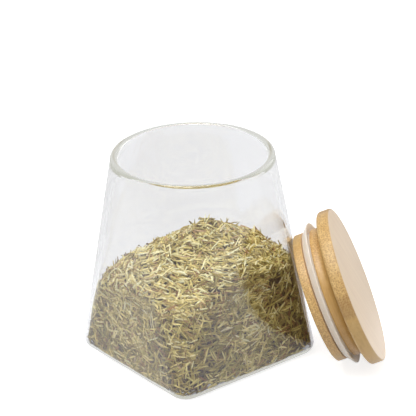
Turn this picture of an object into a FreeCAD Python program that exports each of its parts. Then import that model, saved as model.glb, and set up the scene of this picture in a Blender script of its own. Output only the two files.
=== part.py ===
import FreeCAD, Part

import os
from math import cos, hypot, pi, radians, sin, sqrt, tan

# Herb keeper: a blown glass jar with a square foot and a round mouth, part filled with dried
# herb needles, and a turned bamboo stopper lid that leans on the jar's corner.
# Millimetres. The origin is the middle of the jar's foot on the table and +Z is up. The foot's
# corners point along X and Y, and the lid leans on the corner at +X.

# Jar
jar_height = 106.0
foot_side = 87.0            # across the flats of the square foot
foot_corner_radius = 9.5
heel_radius = 5.5           # outer edge between foot and walls
mouth_diameter = 73.0       # clear width of the mouth
rim_wall = 3.5              # glass at the fire-polished rim
rim_bands = 8               # cone bands that make the half-round of the rim
mouth_land = 5.0            # straight stretch of the bore, under the rim's rounding
side_wall = 2.0             # glass in the walls, just above the heel
floor_wall = 2.2            # glass under the contents
inner_heel_radius = 3.2     # glass; the contents are bevelled here, to clear it

# Heap of herb needles
heap_peak = 71.2            # top of the heap, above the table
heap_peak_offset = 5.4      # from the jar's axis, towards +X
heap_slope = 30.6           # degrees down from the peak
heap_lean = 4.0             # degrees by which the -X side lies lower
heap_crown_radius = 5.8     # rounding of the peak
heap_gap = 0.4              # heap to glass, at the walls

# Lid: cap disc
cap_diameter = 78.8
cap_thickness = 6.4
cap_face_edge = 0.5         # bevel of the upper rim
cap_under_edge = 0.7        # bevel of the rim on the plug's side

# Lid: plug with the groove for the sealing ring
plug_gap = 3.95             # plug to the mouth's wall, all round
neck_length = 6.0           # cap to groove
groove_height = 4.4
groove_depth = 3.2
plug_end_thickness = 4.4    # disc below the groove
plug_end_edge = 0.5         # bevel of the end disc

# Lid: silicone sealing ring
ring_play = 0.1             # ring to each side of its groove
ring_seat_width = 1.7       # solid band of the ring, from the groove's floor outwards
lip_squeeze = 0.2           # radius by which the free lip is wider than the mouth
lip_thickness = 0.9
lip_hollow_depth = 2.2      # hollow behind the lip, on the cap's side
lip_edge = 0.25             # bevel of the lip's edges

# How the lid leans
lid_tilt = 21.0             # degrees that the lid's axis rises from level
lid_turn = 4.9              # degrees that the axis swings from +X towards +Y
lid_shift = -1.6            # middle of the cap's face, along Y
lean_gap = 0.15             # lid to glass where it leans
seating_steps = 20

accuracy = 0.001            # heights and gaps closer than this count as equal

mouth_radius = mouth_diameter / 2
rim_outer_radius = mouth_radius + rim_wall
rim_radius = rim_wall / 2
rim_seat = jar_height - rim_radius
land_foot = rim_seat - mouth_land
foot_half = foot_side / 2
cavity_half = foot_half - side_wall
cavity_corner = foot_corner_radius - side_wall
plug_radius = mouth_radius - plug_gap
groove_radius = plug_radius - groove_depth
groove_top = -cap_thickness - neck_length
groove_foot = groove_top - groove_height
plug_foot = groove_foot - plug_end_thickness
lid_start = foot_side + cap_diameter

upward = FreeCAD.Vector(0, 0, 1)
origin = FreeCAD.Vector(0, 0, 0)


def at(distance, degrees, height):
    """Point at a distance from the Z axis, in a direction counted from +X."""
    turn = radians(degrees)
    return FreeCAD.Vector(distance * cos(turn), distance * sin(turn), height)


def corner_patch(reach, corner_radius, low, round_radius, high, middle):
    """Cone-like face from a corner's quarter circle up to a quarter of the round.

    A rational patch, straight from foot to top. Each quarter circle is weighted by the other's
    radius, so that straight lines across the patch stay straight on the rolled-out cone.
    """
    patch = Part.BezierSurface()
    patch.increase(2, 1)
    rows = ((at(reach, middle, low), corner_radius, round_radius),
            (at(0, middle, high), round_radius, corner_radius))
    for row, (centre, radius, weight) in enumerate(rows, 1):
        poles = ((-45, radius, weight),
                 (0, radius * sqrt(2), weight / sqrt(2)),
                 (45, radius, weight))
        for column, (step, distance, pole_weight) in enumerate(poles, 1):
            patch.setPole(column, row, centre + at(distance, middle + step, 0))
            patch.setWeight(column, row, pole_weight / round_radius)
    return patch.toShape()


def quarter_arc(centre, radius, middle):
    """Quarter circle, level, about a centre."""
    ends = [centre + at(radius, middle + step, 0) for step in (-45, 0, 45)]
    return Part.Arc(*ends).toShape()


def square_to_round(half_side, corner_radius, low, round_radius, high):
    """Solid from a rounded square up to a circle: cone-like corners, flat triangles between.

    Each quarter of the circle comes down to one rounded corner, and each straight side of the
    square rises to a single point of the circle, so neighbours meet without a crease.
    """
    reach = (half_side - corner_radius) * sqrt(2)
    faces = []
    foot_edges = []
    top_edges = []
    for middle in (0, 90, 180, 270):
        side_start = at(reach, middle, low) + at(corner_radius, middle + 45, 0)
        side_end = at(reach, middle + 90, low) + at(corner_radius, middle + 45, 0)
        apex = at(round_radius, middle + 45, high)
        faces.append(corner_patch(reach, corner_radius, low, round_radius, high, middle))
        faces.append(Part.Face(Part.makePolygon([side_start, side_end, apex, side_start])))
        foot_edges.append(quarter_arc(at(reach, middle, low), corner_radius, middle))
        foot_edges.append(Part.makeLine(side_start, side_end))
        top_edges.append(quarter_arc(at(0, middle, high), round_radius, middle))
    faces.append(Part.Face(Part.Wire(foot_edges)))
    faces.append(Part.Face(Part.Wire(top_edges)))
    shell = Part.makeCompound(faces)
    shell.sewShape()
    solid = Part.Solid(shell.Shells[0])
    if solid.Volume < 0:
        solid.reverse()
    return solid


def eased_heel(half_side, corner_radius, low, size, ease):
    """Lowest slice of a rounded square block, its foot's edges eased by a fillet or a bevel."""
    side = 2 * half_side
    block = Part.makeBox(side, side, 2 * size, FreeCAD.Vector(-half_side, -half_side, low))
    upright = [edge for edge in block.Edges if edge.BoundBox.ZLength > size]
    block = block.makeFillet(corner_radius, upright)
    around_foot = [edge for edge in block.Edges if edge.BoundBox.ZMax < low + accuracy]
    block = ease(block, size, around_foot)
    block.rotate(origin, upward, 45)
    slice_box = Part.makeBox(2 * side, 2 * side, size, FreeCAD.Vector(-side, -side, low))
    return block.common(slice_box)


def vessel(half_side, corner_radius, low, heel, round_radius, high, ease):
    """Solid with an eased heel that goes from a square foot to a round top."""
    foot = eased_heel(half_side, corner_radius, low, heel, ease)
    return foot.fuse(square_to_round(half_side, corner_radius, low + heel, round_radius, high))


def turned(corners):
    """Body turned about Z from (radius, height, bevel) corners, in order round the outline."""
    points = [FreeCAD.Vector(radius, 0, height) for radius, height, bevel in corners]
    outline = []
    for index, (radius, height, bevel) in enumerate(corners):
        point = points[index]
        if bevel == 0:
            outline.append(point)
            continue
        for neighbour in (points[index - 1], points[(index + 1) % len(points)]):
            outline.append(point + (neighbour - point).normalize() * bevel)
    outline.append(outline[0])
    return Part.Face(Part.makePolygon(outline)).revolve(origin, upward, 360)


def cavity(gap, ease):
    """Space inside the jar up to the rim, taken in by gap at the walls."""
    bowl = vessel(cavity_half - gap, cavity_corner - gap, floor_wall, inner_heel_radius,
                  mouth_radius - gap, land_foot, ease)
    bore = Part.makeCylinder(mouth_radius - gap, jar_height - land_foot,
                             FreeCAD.Vector(0, 0, land_foot))
    return bowl.fuse(bore)


def glass_jar():
    """Jar: square-to-round shell with a rounded heel and a fire-polished rim."""
    outside = vessel(foot_half, foot_corner_radius, 0, heel_radius, rim_outer_radius, rim_seat,
                     Part.Shape.makeFillet)
    walls = outside.cut(cavity(0, Part.Shape.makeFillet))
    rim_middle = mouth_radius + rim_radius
    turns = [pi * band / rim_bands for band in range(rim_bands + 1)]
    half_round = [FreeCAD.Vector(rim_middle + rim_radius * cos(turn), 0,
                                 rim_seat + rim_radius * sin(turn)) for turn in turns]
    outline = Part.makePolygon(half_round + half_round[:1])
    rim = Part.Face(outline).revolve(origin, upward, 360)
    return walls.fuse(rim).removeSplitter()


def dried_herbs():
    """Heap: the jar's inside up to a mound with a rounded peak, poured a little to one side."""
    slope = radians(heap_slope)
    crown_middle = heap_peak - heap_crown_radius
    crown_end = FreeCAD.Vector(heap_crown_radius * sin(slope), 0,
                               crown_middle + heap_crown_radius * cos(slope))
    crown_top = FreeCAD.Vector(0, 0, heap_peak)
    crown_half = FreeCAD.Vector(heap_crown_radius * sin(slope / 2), 0,
                                crown_middle + heap_crown_radius * cos(slope / 2))
    skirt_reach = foot_side
    skirt_end = FreeCAD.Vector(skirt_reach, 0,
                               crown_end.z - (skirt_reach - crown_end.x) * tan(slope))
    deep = FreeCAD.Vector(0, 0, min(skirt_end.z, 0) - foot_side)
    deep_edge = FreeCAD.Vector(skirt_reach, 0, deep.z)
    crown = Part.Arc(crown_top, crown_half, crown_end).toShape()
    sides = Part.makePolygon([crown_end, skirt_end, deep_edge, deep, crown_top])
    mound = Part.Face(Part.Wire([crown] + sides.Edges)).revolve(origin, upward, 360)
    mound.rotate(crown_top, FreeCAD.Vector(0, 1, 0), -heap_lean)
    mound.translate(FreeCAD.Vector(heap_peak_offset, 0, 0))
    return cavity(heap_gap, Part.Shape.makeChamfer).common(mound)


def lid_cap():
    """Cap: bamboo disc, its face at height 0."""
    radius = cap_diameter / 2
    return turned([(0, -cap_thickness, 0),
                   (radius, -cap_thickness, cap_under_edge),
                   (radius, 0, cap_face_edge),
                   (0, 0, 0)])


def lid_plug():
    """Plug: bamboo turned with a neck, a groove for the ring and an end disc."""
    return turned([(0, plug_foot, 0),
                   (plug_radius, plug_foot, plug_end_edge),
                   (plug_radius, groove_foot, 0),
                   (groove_radius, groove_foot, 0),
                   (groove_radius, groove_top, 0),
                   (plug_radius, groove_top, 0),
                   (plug_radius, -cap_thickness, 0),
                   (0, -cap_thickness, 0)])


def sealing_ring():
    """Ring: a band in the groove with a lip that flares towards the cap, hollow behind."""
    top = groove_top - ring_play
    foot = groove_foot + ring_play
    band = groove_radius + ring_seat_width
    lip_radius = mouth_radius + lip_squeeze
    lip_run = lip_radius - plug_radius
    lip_rise = top - foot
    across = lip_thickness * hypot(lip_run, lip_rise) / lip_rise
    return turned([(groove_radius, foot, 0),
                   (plug_radius, foot, lip_edge),
                   (lip_radius, top, lip_edge),
                   (lip_radius - across, top, lip_edge),
                   (band, top - lip_hollow_depth, 0),
                   (band, top, 0),
                   (groove_radius, top, 0)])


def slide_to(shape, target, direction, gap):
    """Travel along direction that brings shape to within gap of target."""
    travel = FreeCAD.Vector(0, 0, 0)
    for _ in range(seating_steps):
        room = shape.distToShape(target)[0] - gap
        shape.translate(direction * room)
        travel += direction * room
        if abs(room) < accuracy:
            break
    return travel


def lean_lid(pieces, jar):
    """Tips the lid's pieces over, stands them on the table and leans them on the jar."""
    for piece in pieces:
        piece.rotate(origin, FreeCAD.Vector(0, 1, 0), 90 - lid_tilt)
        piece.rotate(origin, upward, lid_turn)
        piece.translate(FreeCAD.Vector(lid_start, lid_shift, lid_start))
    lid = Part.makeCompound(pieces)
    table_edge = 2 * lid_start
    table = Part.makePlane(2 * table_edge, 2 * table_edge,
                           FreeCAD.Vector(-table_edge, -table_edge, 0))
    down = slide_to(lid, table, -upward, 0)
    across = slide_to(lid, jar, FreeCAD.Vector(-1, 0, 0), lean_gap)
    for piece in pieces:
        piece.translate(down + across)


def main():
    jar = glass_jar()
    nodes = {"glass_jar": jar, "dried_herbs": dried_herbs()}
    lid = {"lid_cap": lid_cap(), "lid_plug": lid_plug(), "sealing_ring": sealing_ring()}
    lean_lid(list(lid.values()), jar)
    nodes.update(lid)
    os.makedirs("parts", exist_ok=True)
    for name, shape in nodes.items():
        shape.exportStep("parts/" + name + ".step")
        box = shape.BoundBox
        print(name, "valid", shape.isValid(), "volume", round(shape.Volume / 1000, 2), "cm3",
              "x", round(box.XMin, 2), round(box.XMax, 2), "z", round(box.ZMin, 2),
              round(box.ZMax, 2))


main()
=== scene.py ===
from math import cos, pi, radians, sin, sqrt, tan

import bpy
import numpy as np
from mathutils import Matrix, Vector


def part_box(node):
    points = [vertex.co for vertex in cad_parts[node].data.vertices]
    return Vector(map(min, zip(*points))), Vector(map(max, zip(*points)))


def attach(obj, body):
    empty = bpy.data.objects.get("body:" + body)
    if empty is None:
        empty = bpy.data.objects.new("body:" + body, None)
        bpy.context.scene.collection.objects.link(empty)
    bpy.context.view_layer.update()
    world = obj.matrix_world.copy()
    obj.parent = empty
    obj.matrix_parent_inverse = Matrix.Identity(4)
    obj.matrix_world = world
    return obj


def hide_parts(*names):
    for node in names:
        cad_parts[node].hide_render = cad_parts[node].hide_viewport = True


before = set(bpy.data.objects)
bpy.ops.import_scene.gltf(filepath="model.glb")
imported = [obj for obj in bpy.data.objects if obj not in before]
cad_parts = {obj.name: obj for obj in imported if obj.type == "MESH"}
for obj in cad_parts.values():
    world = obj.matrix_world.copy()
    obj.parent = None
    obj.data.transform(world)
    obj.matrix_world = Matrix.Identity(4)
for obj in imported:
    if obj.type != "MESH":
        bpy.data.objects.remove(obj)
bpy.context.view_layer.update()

# Herb keeper: a clear glass jar with a square foot and a round mouth, a heap of dried needle
# leaves in it, and a bamboo stopper lid with a silicone ring leaning on the jar's corner.
# The scene is in metres. Sizes in the dictionaries are millimetres, and angles are degrees
# where no note says radians.
mm = 0.001
rng = np.random.default_rng(21)  # seeded, so that every run lays the same needles
print("frame loaded")


def addObject(name, data):
    # an object of that data, in the scene
    thing = bpy.data.objects.new(name, data)
    bpy.context.scene.collection.objects.link(thing)
    return thing


cameraPlace = {
    "azimuth": 8.011,        # round the jar, from the front
    "elevation": 25.687,
    "distance": 1266.9,      # from the pivot, which is on the jar's axis
    "pivotHeight": 50.0,
    "aimRight": 6.735,       # the point looked at, beside the pivot and above it
    "aimUp": 24.123,
    "roll": -1.756,
    "lens": 223.14,
    "nearest": 50.0,         # how near and how far it sees
    "farthest": 50000.0,
}


def makeCamera():
    # The eye stands off the pivot by a distance and two angles, looks at a point beside it and
    # above it, and is rolled about that line.
    azimuth, elevation = radians(cameraPlace["azimuth"]), radians(cameraPlace["elevation"])
    back = Vector((sin(azimuth) * cos(elevation), -cos(azimuth) * cos(elevation), sin(elevation)))
    right = Vector((cos(azimuth), sin(azimuth), 0))
    up = back.cross(right)
    pivot = Vector((0, 0, cameraPlace["pivotHeight"]))
    eye = pivot + back * cameraPlace["distance"]
    aim = pivot + right * cameraPlace["aimRight"] + up * cameraPlace["aimUp"]
    data = bpy.data.cameras.new("studioCamera")
    data.lens = cameraPlace["lens"]
    data.clip_start = cameraPlace["nearest"] * mm
    data.clip_end = cameraPlace["farthest"] * mm
    camera = addObject("studioCamera", data)
    look = (aim - eye).to_track_quat("-Z", "Y").to_matrix().to_4x4()
    camera.matrix_world = (Matrix.Translation(eye * mm) @ look
                           @ Matrix.Rotation(radians(cameraPlace["roll"]), 4, "Z"))
    bpy.context.scene.camera = camera


makeCamera()


def linear(hexColour):
    # sRGB hex, such as "#d9b26a", to the linear colour that shaders take, by the sRGB curve
    parts = [int(hexColour[place:place + 2], 16) / 255 for place in (1, 3, 5)]
    return (*[part / 12.92 if part <= 0.04045 else ((part + 0.055) / 1.055) ** 2.4
              for part in parts], 1)


def addNode(tree, kind, inputs=None, stops=None, **settings):
    # Adds a node. Inputs are values or the sockets to link, by name, or by number where Blender
    # has the name twice; stops are a ramp's colours.
    node = tree.nodes.new(kind)
    for name, value in settings.items():
        setattr(node, name, value)
    for socket, value in (inputs or {}).items():
        if isinstance(value, bpy.types.NodeSocket):
            tree.links.new(value, node.inputs[socket])
        else:
            node.inputs[socket].default_value = value
    if stops:
        elements = node.color_ramp.elements
        while len(elements) < len(stops):
            elements.new(0.5)
        for element, (place, colour) in zip(elements, stops):
            element.position = place
            element.color = linear(colour)
    return node


def newMaterial(name):
    # an empty material, its node tree and the tree's output
    material = bpy.data.materials.new(name)
    material.use_nodes = True
    tree = material.node_tree
    tree.nodes.clear()
    return material, tree, addNode(tree, "ShaderNodeOutputMaterial")


def addPiece(name, vertices, faces, material, body, slotName, smooth=True):
    # vertices in millimetres, in the frame; faces as arrays of corners, one array per face size
    mesh = bpy.data.meshes.new(name)
    mesh.from_pydata((vertices * mm).tolist(), [], [f for group in faces for f in group.tolist()])
    mesh.polygons.foreach_set("use_smooth", np.full(len(mesh.polygons), smooth))
    mesh.materials.append(material)
    mesh.update()
    piece = addObject(name, mesh)
    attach(piece, body)
    return piece


def lathe(rows):
    # rows is an array (row, column, xyz) that closes round its columns. Its first and last row
    # are poles, each all one point, and become one vertex with a fan of triangles.
    count, columns = rows.shape[:2]
    inner = rows[1:-1].reshape(-1, 3)
    vertices = np.vstack([inner, rows[:1, 0], rows[-1:, 0]])
    here = np.arange(columns)
    ahead = (here + 1) % columns
    start = np.arange(count - 3)[:, None] * columns
    quads = np.stack([start + here, start + ahead, start + columns + ahead,
                      start + columns + here], axis=-1).reshape(-1, 4)
    bottom, top = len(inner), len(inner) + 1
    last = (count - 3) * columns
    fans = np.vstack([np.stack([np.full(columns, bottom), ahead, here], axis=1),
                      np.stack([np.full(columns, top), last + here, last + ahead], axis=1)])
    return vertices, [quads, fans]


def loopedLathe(rows):
    # the same for a profile that is itself a closed loop, such as a ring's
    count, columns = rows.shape[:2]
    across = np.arange(columns)
    start = np.arange(count)[:, None]
    following = (start + 1) % count
    ahead = (across + 1) % columns
    quads = np.stack([start * columns + across, start * columns + ahead,
                      following * columns + ahead, following * columns + across],
                     axis=-1).reshape(-1, 4)
    return rows.reshape(-1, 3), [quads]


def span(start, end, count):
    # count values from start towards end, without the end
    return np.linspace(start, end, count, endpoint=False)


def polar(reach, angles, height):
    # points at a distance from the axis and an angle t round it, as (r cos t, r sin t, z)
    return np.stack(np.broadcast_arrays(reach * np.cos(angles), reach * np.sin(angles), height),
                    axis=-1)


jar = {
    "height": 106.0,
    "footSide": 87.0,
    "footCorner": 9.5,
    "heel": 5.5,
    "mouthRadius": 36.5,
    "rimWall": 3.5,
    "land": 3.0,             # straight stretch of the inside under the rim
    "sideWall": 1.0,
    "floorWall": 2.5,
    "innerHeel": 2.2,
    "waviness": 0.07,        # unevenness of the blown inside
    "waves": ((3, 17.0, 1.0), (7, -11.0, 0.6), (13, 6.0, 0.4)),  # times round, rise, share
    "columns": 512,
    "rows": {"foot": 6, "heel": 10, "wall": 30, "rim": 24, "land": 4, "inside": 40, "floor": 7},
    "tint": "#fcfcfc",
    "refraction": 1.5,
    "bodyTint": "#d3c7a8",   # what a long way through it keeps
    "bodyDensity": 6.0,      # per metre
    "straightThrough": 0.965,  # light that one face passes, met squarely
    "turns": 3.5,            # past these, a ray gets a painted glow that stands for light caught between the wall's two faces
    "paintedSideGlow": "#8d8f85",   # painted glow, grey-green where the rim turns away
    "paintedPlainGlow": "#a9abaa",  # painted glow elsewhere, about as the board looks through the glass
    "sideReach": (0.6, 0.95),  # how far aside the painted glow turns grey-green, in mouth radii
    "frontShare": 0.1,       # painted grey-green glow left in front and behind
    "underRim": (28.0, 4.0),  # how far below the land it comes in, going up
    "heelReach": (1.5, 0.3),  # how high it comes in, going down, in heels
    "heelShare": 0.7,
}
rimRadius = jar["rimWall"] / 2
rimSeat = jar["height"] - rimRadius
landFoot = rimSeat - jar["land"]
footHalf = jar["footSide"] / 2
cavityHalf = footHalf - jar["sideWall"]
cavityCorner = jar["footCorner"] - jar["sideWall"]
cavityLow = jar["floorWall"] + jar["innerHeel"]


def squareReach(angles, half, corner):
    # Distance from the axis to a rounded square whose corners point along X and Y. Near a corner
    # it is the ray's far crossing of the corner's circle, c cos t + sqrt(r^2 - c^2 sin^2 t) with
    # t counted from the corner; elsewhere it is half the side over cos(45 degrees - t).
    turn = np.abs((angles + pi / 4) % (pi / 2) - pi / 4)
    centre = (half - corner) * sqrt(2)
    tangent = np.arctan2(corner * sin(pi / 4), centre + corner * cos(pi / 4))
    onCorner = (centre * np.cos(turn)
                + np.sqrt(np.maximum(corner ** 2 - (centre * np.sin(turn)) ** 2, 0)))
    return np.where(turn <= tangent, onCorner, half / np.cos(pi / 4 - turn))


def cavitySection(height):
    # half side and corner radius of the jar's inside, straight from the foot to the mouth
    share = np.clip((height - cavityLow) / (landFoot - cavityLow), 0, 1)
    return (cavityHalf + (jar["mouthRadius"] - cavityHalf) * share,
            cavityCorner + (jar["mouthRadius"] - cavityCorner) * share)


def jarProfile():
    # (half side, corner radius, height, unevenness) up the outside, over the rim, down inside
    def stretch(half, corner, height, uneven=0.0):
        return np.stack(np.broadcast_arrays(half, corner, height, uneven), axis=1)

    heel, innerHeel, mouth = jar["heel"], jar["innerHeel"], jar["mouthRadius"]
    rimOuter, rimMiddle = mouth + jar["rimWall"], mouth + rimRadius
    rows = jar["rows"]
    spread = span(0, 1, rows["foot"])
    quarter = span(0, pi / 2, rows["heel"])
    halfTurn = span(0, pi, rows["rim"])
    foot = stretch(spread * (footHalf - heel), spread * (jar["footCorner"] - heel), 0.0)
    off = heel * (1 - np.sin(quarter))
    outerHeel = stretch(footHalf - off, jar["footCorner"] - off, heel * (1 - np.cos(quarter)))
    rise = span(0, 1, rows["wall"])
    outerWall = stretch(footHalf + (rimOuter - footHalf) * rise,
                        jar["footCorner"] + (rimOuter - jar["footCorner"]) * rise,
                        heel + (rimSeat - heel) * rise)
    around = rimMiddle + rimRadius * np.cos(halfTurn)
    rim = stretch(around, around, rimSeat + rimRadius * np.sin(halfTurn))
    land = stretch(mouth, mouth, span(rimSeat, landFoot, rows["land"]))
    heights = span(landFoot, cavityLow, rows["inside"])
    half, corner = cavitySection(heights)
    fade = np.sin(pi * (heights - cavityLow) / (landFoot - cavityLow))
    innerWall = stretch(half, corner, heights, fade)
    turn = span(pi / 2, 0, rows["heel"])
    off = innerHeel * (1 - np.sin(turn))
    heelInside = stretch(cavityHalf - off, cavityCorner - off,
                         jar["floorWall"] + innerHeel * (1 - np.cos(turn)))
    fall = np.linspace(1, 0, rows["floor"])
    floor = stretch(fall * (cavityHalf - innerHeel), fall * (cavityCorner - innerHeel),
                    jar["floorWall"])
    return np.vstack([foot, outerHeel, outerWall, rim, land, innerWall, heelInside, floor])


def jarRows():
    # The rounded square at each height, carried round the axis. On the inside its reach also
    # has long shallow waves, each share * sin(times round * t + z / rise).
    profile = jarProfile()
    half, corner, height, uneven = [profile[:, [place]] for place in range(4)]
    angles = span(0, 2 * pi, jar["columns"])[None, :]
    reach = squareReach(angles, half, corner)
    waves = sum(share * np.sin(timesRound * angles + height / rise)
                for timesRound, rise, share in jar["waves"])
    return polar(reach + jar["waviness"] * uneven * waves, angles, height)


def blownGlass():
    # Borosilicate glass, blown in a mould and fire-polished: perfectly smooth, a faint grey-green
    # in thick edges and a clean reflection. Shadow rays pass, so that lamps light what is inside,
    # and pass less the more a face slants, by the fifth power of its slant.
    # The grey-green in the thick edges is a painted glow: rays caught past a set number of turns
    # get it in place of the light trapped between the wall's two faces. It grows with |x| to the
    # rim's two sides and with height from the wall's upper part, and is in the heel too.
    material, tree, output = newMaterial("blownBorosilicateGlass")
    path = addNode(tree, "ShaderNodeLightPath")
    # painted glow: emission where a ray has passed the set number of turns in the glass
    paintedGlowCaught = addNode(tree, "ShaderNodeMath", operation="GREATER_THAN", inputs={
        0: path.outputs["Glossy Depth"], 1: jar["turns"]})
    place = addNode(tree, "ShaderNodeTexCoord")
    apart = addNode(tree, "ShaderNodeSeparateXYZ", inputs={0: place.outputs["Object"]})
    sideways = addNode(tree, "ShaderNodeMath", operation="ABSOLUTE", inputs={
        0: apart.outputs["X"]})
    aside = addNode(tree, "ShaderNodeMapRange", inputs={
        "Value": sideways.outputs[0],
        "From Min": jar["sideReach"][0] * jar["mouthRadius"] * mm,
        "From Max": jar["sideReach"][1] * jar["mouthRadius"] * mm,
        "To Min": jar["frontShare"]})
    above = addNode(tree, "ShaderNodeMapRange", inputs={
        "Value": apart.outputs["Z"], "From Min": (landFoot - jar["underRim"][0]) * mm,
        "From Max": (landFoot - jar["underRim"][1]) * mm})
    atRim = addNode(tree, "ShaderNodeMath", operation="MULTIPLY", inputs={
        0: aside.outputs[0], 1: above.outputs[0]})
    atHeel = addNode(tree, "ShaderNodeMapRange", inputs={
        "Value": apart.outputs["Z"], "From Min": jar["heelReach"][0] * jar["heel"] * mm,
        "From Max": jar["heelReach"][1] * jar["heel"] * mm, "To Max": jar["heelShare"]})
    share = addNode(tree, "ShaderNodeMath", operation="MAXIMUM", inputs={
        0: atRim.outputs[0], 1: atHeel.outputs[0]})
    # the painted glow's colour, grey-green at the rim's sides and in the heel
    edge = addNode(tree, "ShaderNodeMix", data_type="RGBA", inputs={
        0: share.outputs[0], 6: linear(jar["paintedPlainGlow"]), 7: linear(jar["paintedSideGlow"])})
    glass = addNode(tree, "ShaderNodeBsdfPrincipled", inputs={
        "Base Color": linear(jar["tint"]), "Roughness": 0.0, "IOR": jar["refraction"],
        "Transmission Weight": 1.0, "Emission Color": edge.outputs[2],
        "Emission Strength": paintedGlowCaught.outputs[0]})
    facing = addNode(tree, "ShaderNodeLayerWeight", inputs={"Blend": 0.5})
    slant = addNode(tree, "ShaderNodeMath", operation="POWER", inputs={
        0: facing.outputs["Facing"], 1: 5.0})
    passed = addNode(tree, "ShaderNodeMapRange", inputs={
        "Value": slant.outputs[0], "To Min": jar["straightThrough"], "To Max": 0.0})
    clear = addNode(tree, "ShaderNodeBsdfTransparent", inputs={"Color": passed.outputs[0]})
    mix = addNode(tree, "ShaderNodeMixShader", inputs={
        0: path.outputs["Is Shadow Ray"], 1: glass.outputs[0], 2: clear.outputs[0]})
    tree.links.new(mix.outputs[0], output.inputs["Surface"])
    body = addNode(tree, "ShaderNodeVolumeAbsorption", inputs={
        "Color": linear(jar["bodyTint"]), "Density": jar["bodyDensity"]})
    tree.links.new(body.outputs[0], output.inputs["Volume"])
    return material


jarGlass = addPiece("jarGlass", *lathe(jarRows()), blownGlass(), "jar", "borosilicate_glass")
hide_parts("glass_jar")
print("jar made")

heap = {
    "peak": 71.2,
    "peakOffset": 5.4,       # towards +X
    "slope": 30.6,
    "lean": 4.0,             # the -X side lies lower
    "crownRadius": 5.8,
    "unevenness": 0.9,
    "coreInset": 2.0,        # the body under the needles, dark as painted shade
    "coreBevel": 1.0,        # height of its bevelled foot
    "columns": 160,
    "rows": {"floor": 8, "wall": 24, "top": 36},
    "edgeGuess": 45.0,       # height at which the search for its edge starts
    "edgeSteps": 12,
    "crumb": 1.6,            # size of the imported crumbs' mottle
    # its colours, dark as painted shade of the gaps between the needles
    "crumbShadeDark": "#3a2a24",
    "crumbShadeBrown": "#543f33",
    "crumbShadePale": "#755c42",
}


def heapTop(x, y):
    # Height of the heap: a cone that a sphere rounds at its peak, tipped towards -X, and a few
    # long waves for the poured unevenness, whose divisors are millimetres per radian.
    slope = radians(heap["slope"])
    crown = heap["crownRadius"]
    away = np.hypot(x - heap["peakOffset"], y)
    crownEdge = crown * sin(slope)
    rounded = np.sqrt(np.maximum(crown ** 2 - np.minimum(away, crownEdge) ** 2, 0)) - crown
    fall = rounded - np.maximum(away - crownEdge, 0) * tan(slope)
    waves = (np.sin(x / 6.1 + 1.0) * np.cos(y / 7.3) + 0.7 * np.sin(x / 3.7 - y / 4.9)
             + 0.5 * np.cos(x / 2.6 + y / 3.1 + 2.0))
    return (heap["peak"] + fall + tan(radians(heap["lean"])) * (x - heap["peakOffset"])
            + heap["unevenness"] * waves / 2)


def glassRoom(points):
    # How far points lie inside the glass: the rounded square's distance at their height, the
    # floor's, and the rounding between the two.
    x, y, z = points[..., 0], points[..., 1], points[..., 2]
    half, corner = cavitySection(z)
    along = np.abs(x + y) / sqrt(2) - (half - corner)
    across = np.abs(x - y) / sqrt(2) - (half - corner)
    outside = (np.hypot(np.maximum(along, 0), np.maximum(across, 0))
               + np.minimum(np.maximum(along, across), 0))
    wall, floor, heel = corner - outside, z - jar["floorWall"], jar["innerHeel"]
    rounded = heel - np.hypot(heel - wall, heel - floor)
    return np.where((wall < heel) & (floor < heel), rounded, np.minimum(wall, floor))


def wallContact(angles, inset):
    # height at which the heap meets the wall, by steps halfway to its height at that reach
    height = np.full_like(angles, heap["edgeGuess"])
    for step in range(heap["edgeSteps"]):
        reach = squareReach(angles, *cavitySection(height)) - inset
        height = 0.5 * height + 0.5 * heapTop(reach * np.cos(angles), reach * np.sin(angles))
    return height


def coreRows():
    # floor disc, then up the wall to the heap's edge, then over the heap to its middle
    inset, bevel, rows = heap["coreInset"], heap["coreBevel"], heap["rows"]
    angles = span(0, 2 * pi, heap["columns"])[None, :]
    low = jar["floorWall"] + inset
    edge = wallContact(angles, inset) - inset
    outwards, rise = span(0, 1, rows["floor"]), span(0, 1, rows["wall"])
    inwards = np.linspace(1, 0, rows["top"])
    foot = squareReach(angles, *cavitySection(low)) - inset - jar["innerHeel"] / 2
    height = low + bevel + (edge - low - bevel) * rise[:, None]
    wall = squareReach(angles, *cavitySection(height)) - inset
    top = inwards[:, None] * (squareReach(angles, *cavitySection(edge)) - inset)
    over = heapTop(top * np.cos(angles), top * np.sin(angles)) - inset
    return np.vstack([polar(outwards[:, None] * foot, angles, low), polar(wall, angles, height),
                      polar(top, angles, over)])


def unit(vectors):
    # each vector over its own length
    return vectors / np.linalg.norm(vectors, axis=-1, keepdims=True)


def heapNormal(x, y):
    # (-slope along x, -slope along y, 1) made a unit, each slope by central differences
    step = 0.2
    slopeX = (heapTop(x + step, y) - heapTop(x - step, y)) / (2 * step)
    slopeY = (heapTop(x, y + step) - heapTop(x, y - step)) / (2 * step)
    return unit(np.stack([-slopeX, -slopeY, np.ones_like(x)], axis=-1))


onTop = {
    "count": 6800,
    "reach": 48.0,           # half the side of the square that they are drawn over
    "depth": (-0.5, 0.6, 2.6),  # least, likeliest and most
    "tip": 0.15,             # spread of their tilt out of the surface, in radians
    "lying": 0.75,           # how strongly they lie level
    "standing": 0.03,        # share that stands up
    "standingAtPeak": 0.09,
    "peakReach": 9.0,
    "standTip": (0.4, 1.1),  # how far those tip, in radians
}


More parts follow.
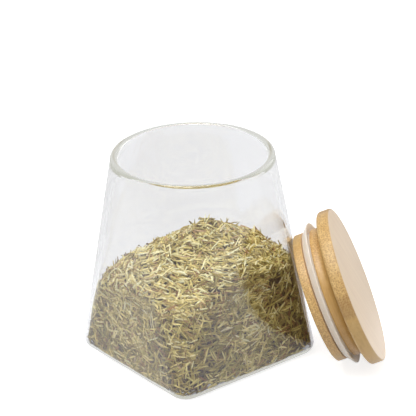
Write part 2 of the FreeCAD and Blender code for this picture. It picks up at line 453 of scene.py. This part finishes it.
def scatterTop(count):
    # even over x and y, each sunk along the surface's normal by its depth
    x, y = rng.uniform(-onTop["reach"], onTop["reach"], (2, count))
    normal = heapNormal(x, y)
    depth = rng.triangular(*onTop["depth"], count)
    place = np.stack([x, y, heapTop(x, y)], axis=-1) - normal * depth[:, None]
    nearPeak = np.hypot(x - heap["peakOffset"], y) < onTop["peakReach"]
    share = np.where(nearPeak, onTop["standingAtPeak"], onTop["standing"])
    standing = rng.uniform(0, 1, count) < share
    tip = rng.normal(0, onTop["tip"], count) + standing * rng.uniform(*onTop["standTip"], count)
    return place, normal, tip, depth


atWalls = {
    "count": 4000,           # in each of the two pieces
    "edgeInset": 1.0,        # from the wall, where the heap's edge is taken
    "aboveFloor": 1.0,
    "crowding": 1.3,         # over 1, denser towards the floor
    "depth": (0.4, 0.6, 2.6),
    "tip": 0.07,
    "lying": 0.35,
}


def scatterWalls(count):
    # just inside the glass below the heap's edge; the normal points out, and is the section's
    # tangent turned by a right angle
    angles = rng.uniform(0, 2 * pi, count)
    edge = wallContact(angles, atWalls["edgeInset"])
    low = jar["floorWall"] + atWalls["aboveFloor"]
    height = low + (edge - low) * rng.uniform(0, 1, count) ** atWalls["crowding"]
    depth = rng.triangular(*atWalls["depth"], count)
    place = polar(squareReach(angles, *cavitySection(height)) - depth, angles, height)
    ahead = angles + 0.02    # a short way on round the axis
    along = polar(squareReach(ahead, *cavitySection(height)) - depth, ahead, height) - place
    normal = unit(np.stack([along[:, 1], -along[:, 0], np.zeros(count)], axis=-1))
    return place, normal, rng.normal(0, atWalls["tip"], count), depth


onFloor = {
    "count": 1700,
    "reach": 52.0,
    "depth": (0.7, 2.4),     # least and most above the glass
    "tip": 0.04,
    "lying": 0.0,
}


def scatterFloor(count):
    # even over x and y, just above the floor, the normal down; they slant by up to 35 degrees
    x, y = rng.uniform(-onFloor["reach"], onFloor["reach"], (2, count))
    depth = rng.uniform(*onFloor["depth"], count)
    normal = np.tile([0.0, 0.0, -1.0], (count, 1))
    place = np.stack([x, y, jar["floorWall"] + depth], axis=-1)
    return place, normal, rng.normal(0, onFloor["tip"], count), depth


needles = {
    "length": (3.2, 10.0),
    "lengthShape": (1.6, 2.2),  # of the beta curve between them: more short ones than long
    "width": (0.75, 1.35),
    "flatness": 0.75,
    "stations": (0.0, 0.3, 0.68, 1.0),  # along the leaf
    "swell": (0.6, 1.0, 0.95, 0.35),    # share of its width at each
    "bend": 0.06,            # spread of the bow, as a share of the length
    "roll": 0.5,             # spread of the turn about its own line, in radians
    "spare": 3,              # times as many are tried as are kept
    "clearance": 0.1,        # needle to glass
    "middle": 30.0,          # height that pressed ones are pressed towards
    "press": 1.1,            # share of what they lack in room, at each of the presses
    "presses": 3,
    "tone": (0.15, 1.0),     # from dark to pale
    "rolled": 0.8,           # painted shade: tone at the two side edges
    "shadeFrom": 0.5,        # depth from which the buried ones get painted shade
    "shadeDepth": 1.2,       # over which they do
    # share of tone that the deepest lose to painted shade
    "paintedBuriedShade": 0.9,
    "dark": "#58402f",
    "olive": "#b39e54",
    "straw": "#f3e092",
    "pale": "#fffcd4",
    "green": "#b5b068",
    "greenShare": 0.4,       # in the freshest
    "greenTill": 0.35,       # age, from 0 to 1, at which it has gone
    "brown": "#a06a4c",
    "brownShare": 0.75,      # in the oldest
    "brownFrom": 0.8,        # age at which it starts
    "mottle": 1.4,           # size of the patches of tone on them
    "mottleTone": (0.8, 1.12),
}


def growNeedles(scatter, where):
    # Needle leaves: each centre line is a shallow parabola of its own length and bend, laid in
    # the plane of the surface that it lies on, and tipped a little. Where one would touch the
    # glass it is pressed towards the jar's middle, so it follows the wall, and those that still
    # touch are dropped. Directions t, from the level, are drawn to it by t - lying / 2 sin 2t.
    count = where["count"]
    tries = count * needles["spare"]
    place, normal, tip, depth = scatter(tries)
    shortest, longest = needles["length"]
    length = shortest + (longest - shortest) * rng.beta(*needles["lengthShape"], tries)
    level = unit(np.cross(normal, [0.0, 0.0, 1.0]) + 1e-6)  # a slant where that is upright
    steep = np.cross(normal, level)
    turn = rng.uniform(-pi, pi, tries)
    turn = turn - where["lying"] * 0.5 * np.sin(2 * turn)
    direction = level * np.cos(turn)[:, None] + steep * np.sin(turn)[:, None]
    direction = unit(direction + normal * np.tan(tip)[:, None])
    side = unit(np.cross(direction, normal))
    upper = np.cross(side, direction)
    roll = rng.normal(0, needles["roll"], tries)[:, None]
    side, upper = (side * np.cos(roll) + upper * np.sin(roll),
                   upper * np.cos(roll) - side * np.sin(roll))
    bend = (rng.normal(0, needles["bend"], tries) * length)[:, None]
    stations = np.array(needles["stations"])
    halfWidth = rng.uniform(*needles["width"], tries)[:, None] / 2 * np.array(needles["swell"])
    centre = (place[:, None] + direction[:, None] * ((stations - 0.5) * length[:, None])[..., None]
              + side[:, None] * (bend * (1 - (2 * stations - 1) ** 2))[..., None])
    inwards = unit(np.array([0.0, 0.0, needles["middle"]]) - centre)
    room = glassRoom(centre) - halfWidth - needles["clearance"]
    for press in range(needles["presses"]):
        centre = centre + inwards * (np.maximum(-room, 0) * needles["press"])[..., None]
        room = glassRoom(centre) - halfWidth - needles["clearance"]
    kept = np.flatnonzero(room.min(axis=1) > 0)[:count]
    corners = np.arange(4) * pi / 2
    ring = (np.cos(corners)[:, None] * side[kept, None, None]
            + needles["flatness"] * np.sin(corners)[:, None] * upper[kept, None, None])
    return centre[kept, :, None] + ring * halfWidth[kept, :, None, None], depth[kept]


def tintNeedles(depth):
    # Tone, age and the painted shade of the side edges at each needle's stations and corners. Tone
    # falls with depth, as painted shade on the buried ones, and two of the four corners are the
    # side edges.
    paintedBuried = np.clip((depth - needles["shadeFrom"]) / needles["shadeDepth"], 0, 1)
    tone = rng.uniform(*needles["tone"], len(depth)) * (1 - needles["paintedBuriedShade"] * paintedBuried)
    age = rng.uniform(0, 1, len(depth))
    # painted shade at the two side corners
    shade = np.array([needles["rolled"], 1.0] * 2)
    return np.stack(np.broadcast_arrays(tone[:, None, None], age[:, None, None], shade,
                                        np.ones((4, 1))), axis=-1)


def needleFaces(count):
    # four corners at each of four stations: three bands of quads and the two ends
    across = np.arange(4)
    ahead = (across + 1) % 4
    bands = np.concatenate([np.stack([row * 4 + across, row * 4 + ahead, row * 4 + 4 + ahead,
                                      row * 4 + 4 + across], axis=1) for row in range(3)])
    ends = np.array([[3, 2, 1, 0], [12, 13, 14, 15]])
    one = np.vstack([bands, ends])
    return (np.arange(count)[:, None, None] * 16 + one).reshape(-1, 4)


def driedNeedle():
    # Dried rosemary-like leaves: matt, from olive to straw, some green and some brown, with
    # painted shade along their two side edges, so that the heap reads as thousands of separate
    # needles.
    material, tree, output = newMaterial("driedNeedleLeaf")
    tint = addNode(tree, "ShaderNodeAttribute", attribute_name="needleTintAndPaintedShade")
    parts = addNode(tree, "ShaderNodeSeparateColor", inputs={0: tint.outputs["Color"]})
    green = addNode(tree, "ShaderNodeValToRGB", inputs={0: parts.outputs[0]}, stops=[
        (0.0, needles["dark"]), (0.3, needles["olive"]), (0.62, needles["straw"]),
        (1.0, needles["pale"])])
    fresh = addNode(tree, "ShaderNodeMapRange", inputs={
        "Value": parts.outputs[1], "From Max": needles["greenTill"],
        "To Min": needles["greenShare"], "To Max": 0.0})
    fresher = addNode(tree, "ShaderNodeMix", data_type="RGBA", inputs={
        0: fresh.outputs[0], 6: green.outputs[0], 7: linear(needles["green"])})
    aged = addNode(tree, "ShaderNodeMapRange", inputs={
        "Value": parts.outputs[1], "From Min": needles["brownFrom"],
        "To Max": needles["brownShare"]})
    brown = addNode(tree, "ShaderNodeMix", data_type="RGBA", inputs={
        0: aged.outputs[0], 6: fresher.outputs[2], 7: linear(needles["brown"])})
    # painted shade along the two side edges, from the attribute's blue
    rolled = addNode(tree, "ShaderNodeMix", data_type="RGBA", blend_type="MULTIPLY", inputs={
        0: 1.0, 6: brown.outputs[2], 7: parts.outputs[2]})
    place = addNode(tree, "ShaderNodeTexCoord")
    mottle = addNode(tree, "ShaderNodeTexNoise", inputs={
        0: place.outputs["Object"], "Scale": 1 / (needles["mottle"] * mm), "Detail": 2.0})
    shade = addNode(tree, "ShaderNodeMapRange", inputs={
        "Value": mottle.outputs[0], "From Min": 0.3, "From Max": 0.7,
        "To Min": needles["mottleTone"][0], "To Max": needles["mottleTone"][1]})
    colour = addNode(tree, "ShaderNodeMix", data_type="RGBA", blend_type="MULTIPLY", inputs={
        0: 1.0, 6: rolled.outputs[2], 7: shade.outputs[0]})
    leaf = addNode(tree, "ShaderNodeBsdfPrincipled", inputs={
        "Base Color": colour.outputs[2], "Roughness": 0.62, "IOR": 1.4})
    tree.links.new(leaf.outputs[0], output.inputs["Surface"])
    return material


def crumbInPaintedShade():
    # Leaf crumb packed deeper down, seen only between the needles: mottled and matt, and dark as
    # painted shade of the gaps.
    material, tree, output = newMaterial("leafCrumbInPaintedShade")
    place = addNode(tree, "ShaderNodeTexCoord")
    mottle = addNode(tree, "ShaderNodeTexNoise", inputs={
        0: place.outputs["Object"], "Scale": 1 / (heap["crumb"] * mm), "Detail": 4.0,
        "Roughness": 0.7})
    colour = addNode(tree, "ShaderNodeValToRGB", inputs={0: mottle.outputs[0]}, stops=[
        (0.35, heap["crumbShadeDark"]), (0.55, heap["crumbShadeBrown"]), (0.7, heap["crumbShadePale"])])
    bump = addNode(tree, "ShaderNodeBump", inputs={
        "Height": mottle.outputs[0], "Strength": 0.8, "Distance": 0.5 * heap["crumb"] * mm})
    crumb = addNode(tree, "ShaderNodeBsdfPrincipled", inputs={
        "Base Color": colour.outputs[0], "Roughness": 0.9, "Normal": bump.outputs[0]})
    tree.links.new(crumb.outputs[0], output.inputs["Surface"])
    return material


def makeNeedles(name, scatter, where, material):
    # the tints and painted shade go into an attribute that the leaf's material reads
    points, depth = growNeedles(scatter, where)
    piece = addPiece(name, points.reshape(-1, 3), [needleFaces(len(points))], material,
                     "jar", "dried_needles", smooth=False)
    layer = piece.data.color_attributes.new("needleTintAndPaintedShade", "FLOAT_COLOR", "POINT")
    layer.data.foreach_set("color", tintNeedles(depth).astype(np.float32).ravel())
    print(name, len(points), "needles")


core = addPiece("heapCore", *lathe(coreRows()), crumbInPaintedShade(), "jar", "dried_needles")
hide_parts("dried_herbs")
leafMaterial = driedNeedle()
makeNeedles("needlesOnTop", scatterTop, onTop, leafMaterial)
makeNeedles("needlesAtWallsA", scatterWalls, atWalls, leafMaterial)
makeNeedles("needlesAtWallsB", scatterWalls, atWalls, leafMaterial)
makeNeedles("needlesOnFloor", scatterFloor, onFloor, leafMaterial)
print("heap made")

lid = {
    "tilt": 21.0,            # of its axis above level
    "turn": 4.9,             # of its axis from +X towards +Y
    "columns": 192,
}
cap = {"radius": 39.4, "thickness": 6.4, "faceEdge": 0.9, "underEdge": 1.2}
plug = {
    "radius": 32.55,
    "neck": 6.0,             # heights of its three stretches, from the cap down
    "groove": 4.4,
    "end": 4.4,
    "grooveDepth": 3.2,
    "grooveEdge": 0.3,
    "endEdge": 0.6,
}
ring = {
    "play": 0.1,             # to the groove's upper side
    "footGap": 0.7,          # and to its lower side
    "seatWidth": 1.7,        # of the band that grips the groove
    "lipRadius": 36.7,
    "lipThickness": 0.9,     # square to its slope
    "lipHollow": 2.2,        # depth between the band and the lip
    "lipEdge": 0.3,
}
plugTop = -cap["thickness"]
grooveTop = plugTop - plug["neck"]
grooveFoot = grooveTop - plug["groove"]
plugFoot = grooveFoot - plug["end"]


def roundedProfile(corners, steps=6):
    # (radius, height) along an outline of (radius, height, rounding) corners, each rounding an
    # arc that touches both sides: its centre lies on the corner's bisector
    points = []
    for index, (radius, height, rounding) in enumerate(corners):
        corner = np.array([radius, height])
        before = np.array(corners[index - 1][:2]) - corner
        after = np.array(corners[(index + 1) % len(corners)][:2]) - corner
        before, after = unit(before), unit(after)
        if rounding == 0:
            points.append(corner[None])
            continue
        halfAngle = np.arccos(np.clip(before @ after, -1, 1)) / 2
        cut = rounding / np.tan(halfAngle)
        middle = corner + unit(before + after) * rounding / sin(halfAngle)
        start, end = corner + before * cut - middle, corner + after * cut - middle
        share = np.linspace(0, 1, steps)[:, None]
        points.append(middle + unit(start * (1 - share) + end * share) * rounding)
    return np.vstack(points)


def turnProfile(profile):
    # each (radius, height) point carried round the axis
    return polar(profile[:, :1], span(0, 2 * pi, lid["columns"]), profile[:, 1:])


def lidPlace():
    # turns the lid as it leans, then moves it so that the cap fills its CAD node's box
    turned = (Matrix.Rotation(radians(lid["turn"]), 4, "Z")
              @ Matrix.Rotation(radians(90 - lid["tilt"]), 4, "Y"))
    low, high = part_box("lid_cap")
    middle = turned @ Vector((0, 0, plugTop / 2))
    return Matrix.Translation((low + high) / 2 / mm - middle) @ turned


lidMatrix = lidPlace()


def placed(points):
    # points of the lid's own frame, carried to where it leans
    turn = np.array(lidMatrix.to_3x3())
    return points @ turn.T + np.array(lidMatrix.translation)


def capRows():
    # a disc, from the axis out along its underside, up its edge and in along its face
    return turnProfile(roundedProfile([
        (0, plugTop, 0), (cap["radius"], plugTop, cap["underEdge"]),
        (cap["radius"], 0, cap["faceEdge"]), (0, 0, 0)]))


def neckRows():
    # the plug's upper board, and below it the groove's core, which stands on the lower board
    inner = plug["radius"] - plug["grooveDepth"]
    return turnProfile(roundedProfile([
        (0, grooveFoot, 0), (inner, grooveFoot, 0), (inner, grooveTop, 0),
        (plug["radius"], grooveTop, plug["grooveEdge"]), (plug["radius"], plugTop, 0),
        (0, plugTop, 0)]))


def endRows():
    # the plug's lower board, a disc
    return turnProfile(roundedProfile([
        (0, plugFoot, 0), (plug["radius"], plugFoot, plug["endEdge"]),
        (plug["radius"], grooveFoot, plug["grooveEdge"]), (0, grooveFoot, 0)]))


def ringRows():
    # A band in the groove and a lip that flares from its foot up towards the cap. The lip's
    # width along the radius is its thickness over the cosine of its lean.
    inner = plug["radius"] - plug["grooveDepth"]
    top, foot = grooveTop - ring["play"], grooveFoot + ring["footGap"]
    edge = ring["lipEdge"]
    across = (ring["lipThickness"] / (top - foot)
              * np.hypot(ring["lipRadius"] - plug["radius"], top - foot))
    return turnProfile(roundedProfile([
        (inner, foot, 0), (plug["radius"], foot, edge), (ring["lipRadius"], top, edge),
        (ring["lipRadius"] - across, top, edge),
        (inner + ring["seatWidth"], top - ring["lipHollow"], edge),
        (inner + ring["seatWidth"], top, edge), (inner, top, 0)]))


bamboo = {
    "bundle": 0.8,           # fibre bundles, across the grain, drawn coarse enough to show
    "streak": 1.8,           # streaks of tone, across the grain
    "stretch": 0.022,        # scale of both along the grain
    "dotEdge": (0.75, 0.2),  # how near a bundle's middle its dot starts and is full
    "strip": 21.0,           # width of the glued strips
    "stripTone": (0.95, 1.04),
    # Turn of the fibres from the lid's upper end towards the front, and how squarely they are
    # cut where the dots start: the lid is three boards glued crosswise.
    "capGrain": (30.0, 0.66),
    "neckGrain": (-12.0, 0.5),
    "endGrain": (66.0, 0.3),
    "square": 0.8,           # and how squarely where they show in full
    "light": "#eac886",
    "ground": "#d8ae67",
    "fibre": "#a06c35",
    "turnedWax": 0.55,
    "faceWax": 1.0,
    "face": "#f9dcb6",       # paler than the turned edge: a painted sheen of the room glancing off the face
    "faceShare": 0.85,       # share of that painted-sheen colour on the face
    "faceFrom": 0.8,         # how squarely a surface faces up the lid where it starts
    "cutDots": 0.7,          # how strongly the bundles show where they are cut across
    "alongDots": 0.15,       # and where they aren't
    "alongToneAndShade": "#f1ebdd",  # tone there, darker and warmer: the grain's own tone with painted shade of the lower side
    "knot": -26.0,           # where the culm's joint crosses the grain
    "knotReach": (3.2, 5.0),  # full up to the first, gone at the second
    "knotShade": 0.82,
    "knotDots": 0.4,
}


def sandedBamboo(name, grainOfBoard, knotShare):
    # Laminated bamboo, turned, sanded and oiled: dark fibre bundles show as dots on end grain
    # and as long streaks along it, in strips of slightly different tone. knotShare is 1 on the
    # board whose side shows the culm's joint.
    material, tree, output = newMaterial(name)
    turn, dotsFrom = radians(grainOfBoard[0]), grainOfBoard[1]
    # the lid's own frame, with X turned to run along the fibres
    grain = Matrix.Rotation(-turn, 4, "Z") @ lidMatrix.inverted()
    place = addNode(tree, "ShaderNodeTexCoord")
    inLid = addNode(tree, "ShaderNodeMapping", inputs={
        "Vector": place.outputs["Object"], "Location": grain.translation * mm,
        "Rotation": grain.to_euler()})
    stretched = addNode(tree, "ShaderNodeMapping", inputs={
        "Vector": inLid.outputs[0], "Scale": (bamboo["stretch"], 1.0, 1.0)})
    bundles = addNode(tree, "ShaderNodeTexVoronoi", inputs={
        "Vector": stretched.outputs[0], "Scale": 1 / (bamboo["bundle"] * mm),
        "Randomness": 0.7})
    dots = addNode(tree, "ShaderNodeMapRange", inputs={
        "Value": bundles.outputs["Distance"], "From Min": bamboo["dotEdge"][0],
        "From Max": bamboo["dotEdge"][1]})
    streaks = addNode(tree, "ShaderNodeTexNoise", inputs={
        "Vector": stretched.outputs[0], "Scale": 1 / (bamboo["streak"] * mm), "Detail": 5.0,
        "Roughness": 0.65})
    ground = addNode(tree, "ShaderNodeValToRGB", inputs={0: streaks.outputs[0]}, stops=[
        (0.25, bamboo["ground"]), (0.75, bamboo["light"])])
    # a tone for each glued strip
    across = addNode(tree, "ShaderNodeSeparateXYZ", inputs={0: inLid.outputs[0]})
    stripPlace = addNode(tree, "ShaderNodeMath", operation="MULTIPLY", inputs={
        0: across.outputs["Y"], 1: 1 / (bamboo["strip"] * mm)})
    stripNumber = addNode(tree, "ShaderNodeMath", operation="FLOOR", inputs={
        0: stripPlace.outputs[0]})
    stripTone = addNode(tree, "ShaderNodeTexWhiteNoise", noise_dimensions="1D", inputs={
        "W": stripNumber.outputs[0]})
    tone = addNode(tree, "ShaderNodeMapRange", inputs={
        "Value": stripTone.outputs["Value"], "To Min": bamboo["stripTone"][0],
        "To Max": bamboo["stripTone"][1]})
    toned = addNode(tree, "ShaderNodeMix", data_type="RGBA", blend_type="MULTIPLY", inputs={
        0: 1.0, 6: ground.outputs[0], 7: tone.outputs[0]})
    # how squarely the surface cuts the fibres, and what shows of the bundles there
    fibres = lidMatrix.to_3x3() @ Vector((cos(turn), sin(turn), 0))
    facing = addNode(tree, "ShaderNodeVectorMath", operation="DOT_PRODUCT", inputs={
        0: place.outputs["Normal"], 1: fibres})
    cut = addNode(tree, "ShaderNodeMath", operation="ABSOLUTE", inputs={
        0: facing.outputs["Value"]})
    showing = addNode(tree, "ShaderNodeMapRange", inputs={
        "Value": cut.outputs[0], "From Min": dotsFrom, "From Max": bamboo["square"],
        "To Min": bamboo["alongDots"], "To Max": bamboo["cutDots"]})
    upright = addNode(tree, "ShaderNodeVectorMath", operation="DOT_PRODUCT", inputs={
        0: place.outputs["Normal"], 1: lidMatrix.to_3x3() @ Vector((0, 0, 1))})
    onSide = addNode(tree, "ShaderNodeMapRange", inputs={
        "Value": upright.outputs["Value"], "From Min": bamboo["faceFrom"],
        "To Min": knotShare, "To Max": 0.0})
    # the culm's joint, a darker band across the grain
    toKnot = addNode(tree, "ShaderNodeMath", operation="SUBTRACT", inputs={
        0: across.outputs["X"], 1: bamboo["knot"] * mm})
    fromKnot = addNode(tree, "ShaderNodeMath", operation="ABSOLUTE", inputs={
        0: toKnot.outputs[0]})
    nearKnot = addNode(tree, "ShaderNodeMapRange", inputs={
        "Value": fromKnot.outputs[0], "From Min": bamboo["knotReach"][1] * mm,
        "From Max": bamboo["knotReach"][0] * mm})
    knot = addNode(tree, "ShaderNodeMath", operation="MULTIPLY", inputs={
        0: nearKnot.outputs[0], 1: onSide.outputs[0]})
    dotShare = addNode(tree, "ShaderNodeMath", operation="MULTIPLY_ADD", inputs={
        0: knot.outputs[0], 1: bamboo["knotDots"], 2: showing.outputs[0]})
    strength = addNode(tree, "ShaderNodeMath", operation="MULTIPLY", inputs={
        0: dots.outputs[0], 1: dotShare.outputs[0]})
    # darker and warmer where the fibres run along: grain tone with painted shade of the lower side
    cutShare = addNode(tree, "ShaderNodeMapRange", inputs={
        "Value": cut.outputs[0], "From Min": dotsFrom, "From Max": bamboo["square"]})
    shade = addNode(tree, "ShaderNodeMix", data_type="RGBA", inputs={
        0: cutShare.outputs[0], 6: linear(bamboo["alongToneAndShade"]), 7: linear("#ffffff")})
    fibred = addNode(tree, "ShaderNodeMix", data_type="RGBA", blend_type="MULTIPLY", inputs={
        0: 1.0, 6: toned.outputs[2], 7: shade.outputs[2]})
    knotShade = addNode(tree, "ShaderNodeMapRange", inputs={
        "Value": knot.outputs[0], "To Min": 1.0, "To Max": bamboo["knotShade"]})
    turned = addNode(tree, "ShaderNodeMix", data_type="RGBA", blend_type="MULTIPLY", inputs={
        0: 1.0, 6: fibred.outputs[2], 7: knotShade.outputs[0]})
    # the cap's face, paler by a painted sheen
    onFace = addNode(tree, "ShaderNodeMapRange", inputs={
        "Value": upright.outputs["Value"], "From Min": bamboo["faceFrom"],
        "To Max": bamboo["faceShare"]})
    waxed = addNode(tree, "ShaderNodeMapRange", inputs={
        "Value": onFace.outputs[0], "To Min": bamboo["turnedWax"], "To Max": bamboo["faceWax"]})
    # painted sheen: the face's paler colour
    faced = addNode(tree, "ShaderNodeMix", data_type="RGBA", inputs={
        0: onFace.outputs[0], 6: turned.outputs[2], 7: linear(bamboo["face"])})
    dotted = addNode(tree, "ShaderNodeMix", data_type="RGBA", inputs={
        0: strength.outputs[0], 6: faced.outputs[2], 7: linear(bamboo["fibre"])})
    bump = addNode(tree, "ShaderNodeBump", inputs={
        "Height": dots.outputs[0], "Strength": 0.25, "Distance": 0.1 * mm}, invert=True)
    wood = addNode(tree, "ShaderNodeBsdfPrincipled", inputs={
        "Base Color": dotted.outputs[2], "Roughness": 0.5, "Normal": bump.outputs[0],
        "Coat Weight": waxed.outputs[0], "Coat Roughness": 0.42, "Coat IOR": 1.5})
    tree.links.new(wood.outputs[0], output.inputs["Surface"])
    return material


silicone = {
    "milk": "#e0d6c8",
    "scatter": (3.0, 2.7, 2.4),  # how far red, green and blue light goes in it
    "glow": "#f6ebe0",
    "glowHeight": (8.0, 70.0),   # above the table
    "glowShare": (0.04, 0.17),   # at those heights
}


def milkySilicone():
    # Moulded platinum silicone: milky, soft-edged and satin. A weak glow stands for the light
    # that its thin lip passes from behind: strongest at the upper end, which is open to the
    # studio, and hardly any in the hollow at the table.
    material, tree, output = newMaterial("milkySilicone")
    place = addNode(tree, "ShaderNodeTexCoord")
    parts = addNode(tree, "ShaderNodeSeparateXYZ", inputs={0: place.outputs["Object"]})
    passed = addNode(tree, "ShaderNodeMapRange", inputs={
        "Value": parts.outputs["Z"], "From Min": silicone["glowHeight"][0] * mm,
        "From Max": silicone["glowHeight"][1] * mm, "To Min": silicone["glowShare"][0],
        "To Max": silicone["glowShare"][1]})
    rubber = addNode(tree, "ShaderNodeBsdfPrincipled", inputs={
        "Base Color": linear(silicone["milk"]), "Roughness": 0.38, "IOR": 1.41,
        "Subsurface Weight": 1.0, "Subsurface Radius": silicone["scatter"],
        "Subsurface Scale": mm, "Emission Color": linear(silicone["glow"]),
        "Emission Strength": passed.outputs[0]})
    tree.links.new(rubber.outputs[0], output.inputs["Surface"])
    return material


def makeLidPiece(name, mesh, material, slotName, node):
    # a piece made in the lid's own frame, put where it leans
    vertices, faces = mesh
    piece = addPiece(name, placed(vertices), faces, material, "lid", slotName)
    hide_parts(node)


makeLidPiece("lidCap", lathe(capRows()),
             sandedBamboo("sandedBambooOfCap", bamboo["capGrain"], 1.0), "bamboo", "lid_cap")
makeLidPiece("lidNeck", lathe(neckRows()),
             sandedBamboo("sandedBambooOfNeck", bamboo["neckGrain"], 0.0), "bamboo", "lid_plug")
makeLidPiece("lidEnd", lathe(endRows()),
             sandedBamboo("sandedBambooOfEnd", bamboo["endGrain"], 0.0), "bamboo", "lid_plug")
makeLidPiece("lidRing", loopedLathe(ringRows()), milkySilicone(), "silicone", "sealing_ring")
print("lid made")

light = {
    "board": 0.62,           # how much light the floor sends back
    "eyeGlow": 0.8,          # brightness that the floor has for the eye, without its light
    "frontGlow": 0.66,       # the same in reflections, in front of the jar and beside it
    "backGlow": 0.16,        # and behind it
    "front": 30.0,           # y at which it starts to go over from one to the other
    "back": 80.0,            # y at which it has
    "glassGlow": 0.285,      # the same through glass
    "cool": "#f3f6ff",       # tint of the glow in reflections and through glass
    "floorReach": 4000.0,
    "floorDrop": 0.05,       # below the jar's foot
    "fill": 0.31,            # the room's light from all round
    # what gloss and glass see of the room, from level to overhead
    "room": ((0.0, "#eeeef1"), (0.12, "#eeeef1"), (0.35, "#c8c8c8"), (0.7, "#a0a0a0"),
             (1.0, "#e8e8e8")),
    "throughGlass": "#e4e4e6",  # share of it that is seen through glass
    "aimHeight": 40.0,       # on the jar's axis, where the lamps point
}
lamps = {                    # power in watts
    "softKey": {"power": 17.5, "side": 900.0, "place": (-150.0, -350.0, 1400.0)},
    "sideFill": {"power": 1.3, "side": 600.0, "place": (580.0, 430.0, 330.0)},
}


def studioFloor():
    # matt white board; the eye, mirrors and glass also see a white glow that hides its edges
    material, tree, output = newMaterial("mattWhiteBoard")
    board = addNode(tree, "ShaderNodeBsdfDiffuse", inputs={"Color": (light["board"],) * 3 + (1,)})
    path = addNode(tree, "ShaderNodeLightPath")
    place = addNode(tree, "ShaderNodeTexCoord")
    apart = addNode(tree, "ShaderNodeSeparateXYZ", inputs={0: place.outputs["Object"]})
    around = addNode(tree, "ShaderNodeMapRange", inputs={
        "Value": apart.outputs["Y"], "From Min": light["front"] * mm,
        "From Max": light["back"] * mm, "To Min": light["frontGlow"],
        "To Max": light["backGlow"]})
    mirror = addNode(tree, "ShaderNodeMath", operation="MULTIPLY", inputs={
        0: path.outputs["Is Glossy Ray"], 1: around.outputs[0]})
    through = addNode(tree, "ShaderNodeMix", inputs={
        0: path.outputs["Is Transmission Ray"], 2: mirror.outputs[0], 3: light["glassGlow"]})
    seen = addNode(tree, "ShaderNodeMix", inputs={
        0: path.outputs["Is Camera Ray"], 2: through.outputs[0], 3: light["eyeGlow"]})
    colour = addNode(tree, "ShaderNodeMix", data_type="RGBA", inputs={
        0: path.outputs["Is Camera Ray"], 6: linear(light["cool"]), 7: (1, 1, 1, 1)})
    glow = addNode(tree, "ShaderNodeEmission", inputs={
        "Color": colour.outputs[2], "Strength": seen.outputs[0]})
    both = addNode(tree, "ShaderNodeAddShader", inputs={0: board.outputs[0], 1: glow.outputs[0]})
    tree.links.new(both.outputs[0], output.inputs["Surface"])
    mesh = bpy.data.meshes.new("studioFloor")
    reach, low = light["floorReach"] * mm, -light["floorDrop"] * mm
    mesh.from_pydata([(-reach, -reach, low), (reach, -reach, low), (reach, reach, low),
                      (-reach, reach, low)], [], [(0, 1, 2, 3)])
    mesh.materials.append(material)
    addObject("studioFloor", mesh)


def makeWorld():
    # even light on the object; gloss and glass see the room, and the eye sees plain white
    world = bpy.data.worlds.new("softStudio")
    bpy.context.scene.world = world
    world.use_nodes = True
    tree = world.node_tree
    tree.nodes.clear()
    output = addNode(tree, "ShaderNodeOutputWorld")
    direction = addNode(tree, "ShaderNodeTexCoord")
    height = addNode(tree, "ShaderNodeSeparateXYZ", inputs={0: direction.outputs["Generated"]})
    room = addNode(tree, "ShaderNodeValToRGB", inputs={0: height.outputs["Z"]},
                   stops=light["room"])
    path = addNode(tree, "ShaderNodeLightPath")
    through = addNode(tree, "ShaderNodeMix", data_type="RGBA", blend_type="MULTIPLY", inputs={
        0: path.outputs["Is Transmission Ray"], 6: room.outputs[0],
        7: linear(light["throughGlass"])})
    fill = (light["fill"],) * 3 + (1,)
    indirect = addNode(tree, "ShaderNodeMix", data_type="RGBA", inputs={
        0: path.outputs["Is Glossy Ray"], 6: fill, 7: through.outputs[2]})
    shown = addNode(tree, "ShaderNodeMix", data_type="RGBA", inputs={
        0: path.outputs["Is Camera Ray"], 6: indirect.outputs[2], 7: (1, 1, 1, 1)})
    background = addNode(tree, "ShaderNodeBackground", inputs={0: shown.outputs[2]})
    tree.links.new(background.outputs[0], output.inputs["Surface"])


def makeLamp(name, settings):
    # a square soft box that faces a point inside the jar
    data = bpy.data.lights.new(name, "AREA")
    data.energy = settings["power"]
    data.size = settings["side"] * mm
    lamp = addObject(name, data)
    lamp.location = Vector(settings["place"]) * mm
    aim = Vector((0, 0, light["aimHeight"] * mm))
    lamp.rotation_mode = "QUATERNION"
    lamp.rotation_quaternion = (aim - lamp.location).to_track_quat("-Z", "Y")


studioFloor()
makeWorld()
for name, settings in lamps.items():
    makeLamp(name, settings)
bpy.context.scene.view_settings.view_transform = "Standard"
print("studio made")
